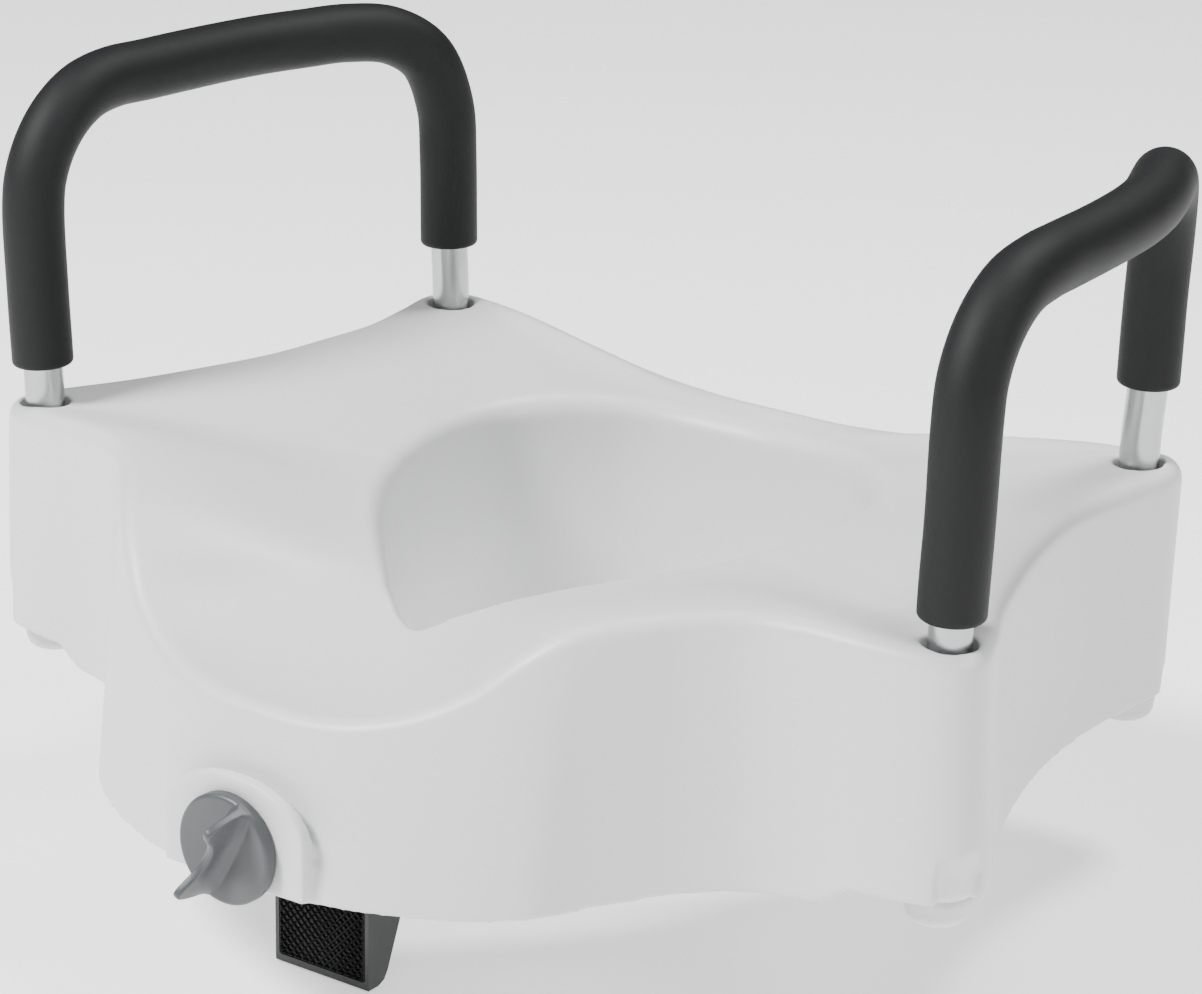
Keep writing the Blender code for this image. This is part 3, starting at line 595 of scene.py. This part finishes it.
def build_pad():
    """The rubber pad: two families of ridges cross and leave square pits between them."""
    low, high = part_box("clamp_pad")
    x0, x1 = low.x / MM, high.x / MM
    z0, z1 = low.z / MM, high.z / MM
    front, back = low.y / MM, high.y / MM
    step = 0.34
    columns = int((x1 - x0) / step) + 1
    rows = int((z1 - z0) / step) + 1

    def ridge(value):
        nearest = abs((value / KNURL_PITCH) % 1.0 - 0.5) * 2
        return max(0.0, 1.0 - (1.0 - nearest) / KNURL_WIDTH)

    verts = []
    for j in range(rows):
        z = z0 + (z1 - z0) * j / (rows - 1)
        for i in range(columns):
            x = x0 + (x1 - x0) * i / (columns - 1)
            rim = min(x - x0, x1 - x, z - z0, z1 - z)
            height = max(ridge((x + z) * 0.7071), ridge((x - z) * 0.7071))
            if rim < 1.0:
                height = max(height, 0.55)
            verts.append((x, front + KNURL_DEPTH * (1 - height) + (0.5 if rim < 0.05 else 0.0), z))
    faces = []
    for j in range(rows - 1):
        for i in range(columns - 1):
            a = j * columns + i
            faces.append((a, a + 1, a + 1 + columns, a + columns))
    border = list(range(columns))
    border += [j * columns + columns - 1 for j in range(1, rows)]
    border += [(rows - 1) * columns + i for i in range(columns - 2, -1, -1)]
    border += [j * columns for j in range(rows - 2, 0, -1)]
    first = len(verts)
    verts += [(verts[k][0], back, verts[k][2]) for k in border]
    for k in range(len(border)):
        n = (k + 1) % len(border)
        faces.append((border[k], border[n], first + n, first + k))
    faces.append(tuple(range(first, first + len(border))))
    pad = make_object("knurled_pad", verts, faces, smooth=False)
    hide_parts("clamp_pad")
    return pad


# ---------------------------------------------------------------- materials

def material(name, colour, roughness, metallic=0.0, grain=900.0, bump=0.05, mottle=0.03, stretch=(1, 1, 1), **extra):
    """A Principled material whose colour and roughness drift a little and whose surface has a fine grain."""
    made = bpy.data.materials.new(name)
    made.use_nodes = True
    nodes, links = made.node_tree.nodes, made.node_tree.links
    shader = nodes["Principled BSDF"]
    place = nodes.new("ShaderNodeTexCoord")
    mapping = nodes.new("ShaderNodeMapping")
    mapping.inputs["Scale"].default_value = stretch
    links.new(place.outputs["Object"], mapping.inputs["Vector"])

    broad = nodes.new("ShaderNodeTexNoise")
    broad.inputs["Scale"].default_value = 14.0
    broad.inputs["Detail"].default_value = 3.0
    links.new(place.outputs["Object"], broad.inputs["Vector"])
    tint = nodes.new("ShaderNodeMix")
    tint.data_type = "RGBA"
    tint.inputs["A"].default_value = (*[c * (1 - mottle) for c in colour], 1.0)
    tint.inputs["B"].default_value = (*[min(1.0, c * (1 + mottle)) for c in colour], 1.0)
    links.new(broad.outputs["Fac"], tint.inputs["Factor"])
    links.new(tint.outputs["Result"], shader.inputs["Base Color"])

    fine = nodes.new("ShaderNodeTexNoise")
    fine.inputs["Scale"].default_value = grain
    fine.inputs["Detail"].default_value = 4.0
    links.new(mapping.outputs["Vector"], fine.inputs["Vector"])
    spread = nodes.new("ShaderNodeMapRange")
    spread.inputs["To Min"].default_value = roughness - 0.06
    spread.inputs["To Max"].default_value = roughness + 0.06
    links.new(fine.outputs["Fac"], spread.inputs["Value"])
    links.new(spread.outputs["Result"], shader.inputs["Roughness"])
    relief = nodes.new("ShaderNodeBump")
    relief.inputs["Strength"].default_value = bump
    relief.inputs["Distance"].default_value = 0.0003
    links.new(fine.outputs["Fac"], relief.inputs["Height"])
    links.new(relief.outputs["Normal"], shader.inputs["Normal"])

    shader.inputs["Metallic"].default_value = metallic
    for socket, value in extra.items():
        shader.inputs[socket.replace("_", " ")].default_value = value
    return made


def dress(obj, made):
    obj.data.materials.clear()
    obj.data.materials.append(made)


def give_materials(shell, arms, feet, knob, pad):
    moulded = material("moulded_polyethylene", (0.63, 0.652, 0.634), 0.42, grain=700, bump=0.10, mottle=0.012)
    cap = material("cap_polyethylene", (0.62, 0.64, 0.625), 0.44, grain=900, bump=0.08, mottle=0.012)
    satin = material("satin_aluminium", (0.40, 0.405, 0.415), 0.24, 1.0, grain=260, bump=0.10, mottle=0.02,
                     stretch=(9, 9, 0.35))
    foam = material("foam", (0.0075, 0.0079, 0.0083), 0.60, grain=2300, bump=0.45, mottle=0.10,
                    Specular_IOR_Level=0.22)
    grey = material("grey_plastic", (0.056, 0.060, 0.064), 0.45, grain=1400, bump=0.10, mottle=0.03)
    dark_grey = material("bracket_plastic", (0.020, 0.0215, 0.023), 0.47, grain=1400, bump=0.12, mottle=0.03)
    rubber = material("rubber", (0.0024, 0.0024, 0.0027), 0.38, grain=2000, bump=0.15, mottle=0.08,
                      Specular_IOR_Level=0.25)
    zinc = material("zinc_plate", (0.62, 0.63, 0.65), 0.34, 1.0, grain=600, bump=0.12, mottle=0.06)
    spring = material("spring_steel", (0.28, 0.28, 0.30), 0.38, 1.0, grain=500, bump=0.10, mottle=0.08)
    nylon = material("nylon", (0.08, 0.08, 0.085), 0.50, grain=900, bump=0.10, mottle=0.05)

    dress(shell, moulded)
    for piece in arms:
        dress(piece, satin if piece.name.startswith("tube") else foam)
    for piece in feet:
        dress(piece, cap)
    dress(knob, grey)
    dress(pad, rubber)
    shown = {"clamp_bracket": dark_grey, "rest_pad": rubber, "tube_plug": nylon, "retaining_clip": spring}
    for name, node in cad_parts.items():
        if node.hide_render:
            continue
        found = [made for start, made in shown.items() if name.startswith(start)]
        dress(node, found[0] if found else zinc)
        if name.startswith(("clamp_bracket", "rest_pad", "clamp_nut", "guide_plate")):
            weld = node.modifiers.new("weld", "WELD")
            weld.merge_threshold = 0.00001
            bevel = node.modifiers.new("edges", "BEVEL")
            bevel.width = 0.0007 if name != "guide_plate" else 0.0003
            bevel.segments = 3
            bevel.limit_method = "ANGLE"
            bevel.angle_limit = math.radians(32)


# ---------------------------------------------------------------- stage

def add_light(name, place, target, size, power):
    data = bpy.data.lights.new(name, "AREA")
    data.shape = "DISK"
    data.size = size
    data.energy = power
    light = bpy.data.objects.new(name, data)
    bpy.context.scene.collection.objects.link(light)
    light.location = place
    light.rotation_mode = "QUATERNION"
    light.rotation_quaternion = (Vector(target) - Vector(place)).to_track_quat("-Z", "Y")


def build_stage():
    floor_height = cad_low.z / MM - 1.0
    floor = make_object("floor", [(-6000, -6000, floor_height), (6000, -6000, floor_height),
                                  (6000, 6000, floor_height), (-6000, 6000, floor_height)], [(0, 1, 2, 3)])
    pale = material("floor", (0.90, 0.90, 0.90), 0.75, grain=60, bump=0.02, mottle=0.01)
    glow = pale.node_tree.nodes["Principled BSDF"]
    glow.inputs["Emission Color"].default_value = (1.0, 1.0, 1.0, 1.0)
    glow.inputs["Emission Strength"].default_value = 0.80
    dress(floor, pale)
    world = bpy.data.worlds.new("studio")
    bpy.context.scene.world = world
    world.use_nodes = True
    background = world.node_tree.nodes["Background"]
    background.inputs["Color"].default_value = (0.97, 0.985, 1.0, 1.0)
    background.inputs["Strength"].default_value = 0.08
    middle = (0.0, 0.0, 0.1)
    add_light("key", (-0.9, -1.9, 2.4), middle, 0.9, 200.0)
    add_light("side", (2.3, -0.3, 1.2), middle, 0.7, 22.0)
    add_light("top", (0.5, 1.1, 2.6), middle, 0.9, 72.0)


def build_camera():
    azimuth, elevation, roll = 0.6294, 0.3368, 0.0171
    forward = Vector((-math.sin(azimuth) * math.cos(elevation), math.cos(azimuth) * math.cos(elevation),
                      -math.sin(elevation)))
    right = Vector((math.cos(azimuth), math.sin(azimuth), 0.0))
    up = right.cross(forward)
    tilted_right = right * math.cos(roll) + up * math.sin(roll)
    tilted_up = up * math.cos(roll) - right * math.sin(roll)
    data = bpy.data.cameras.new("camera")
    data.sensor_width = 36.0
    data.lens = 121.07
    data.clip_start = 0.05
    data.clip_end = 50.0
    camera = bpy.data.objects.new("camera", data)
    bpy.context.scene.collection.objects.link(camera)
    camera.matrix_world = Matrix((
        (tilted_right.x, tilted_up.x, -forward.x, 1.0576),
        (tilted_right.y, tilted_up.y, -forward.y, -1.4721),
        (tilted_right.z, tilted_up.z, -forward.z, 0.7337),
        (0.0, 0.0, 0.0, 1.0),
    ))
    bpy.context.scene.camera = camera


shell = build_shell()
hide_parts("seat_shell")
arms = build_arms()
feet = build_feet()
knob = build_knob()
pad = build_pad()
for piece in [shell, *arms, *feet]:
    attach(piece, "seat")
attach(knob, "knob")
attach(pad, "clamp")
give_materials(shell, arms, feet, knob, pad)
build_stage()
build_camera()
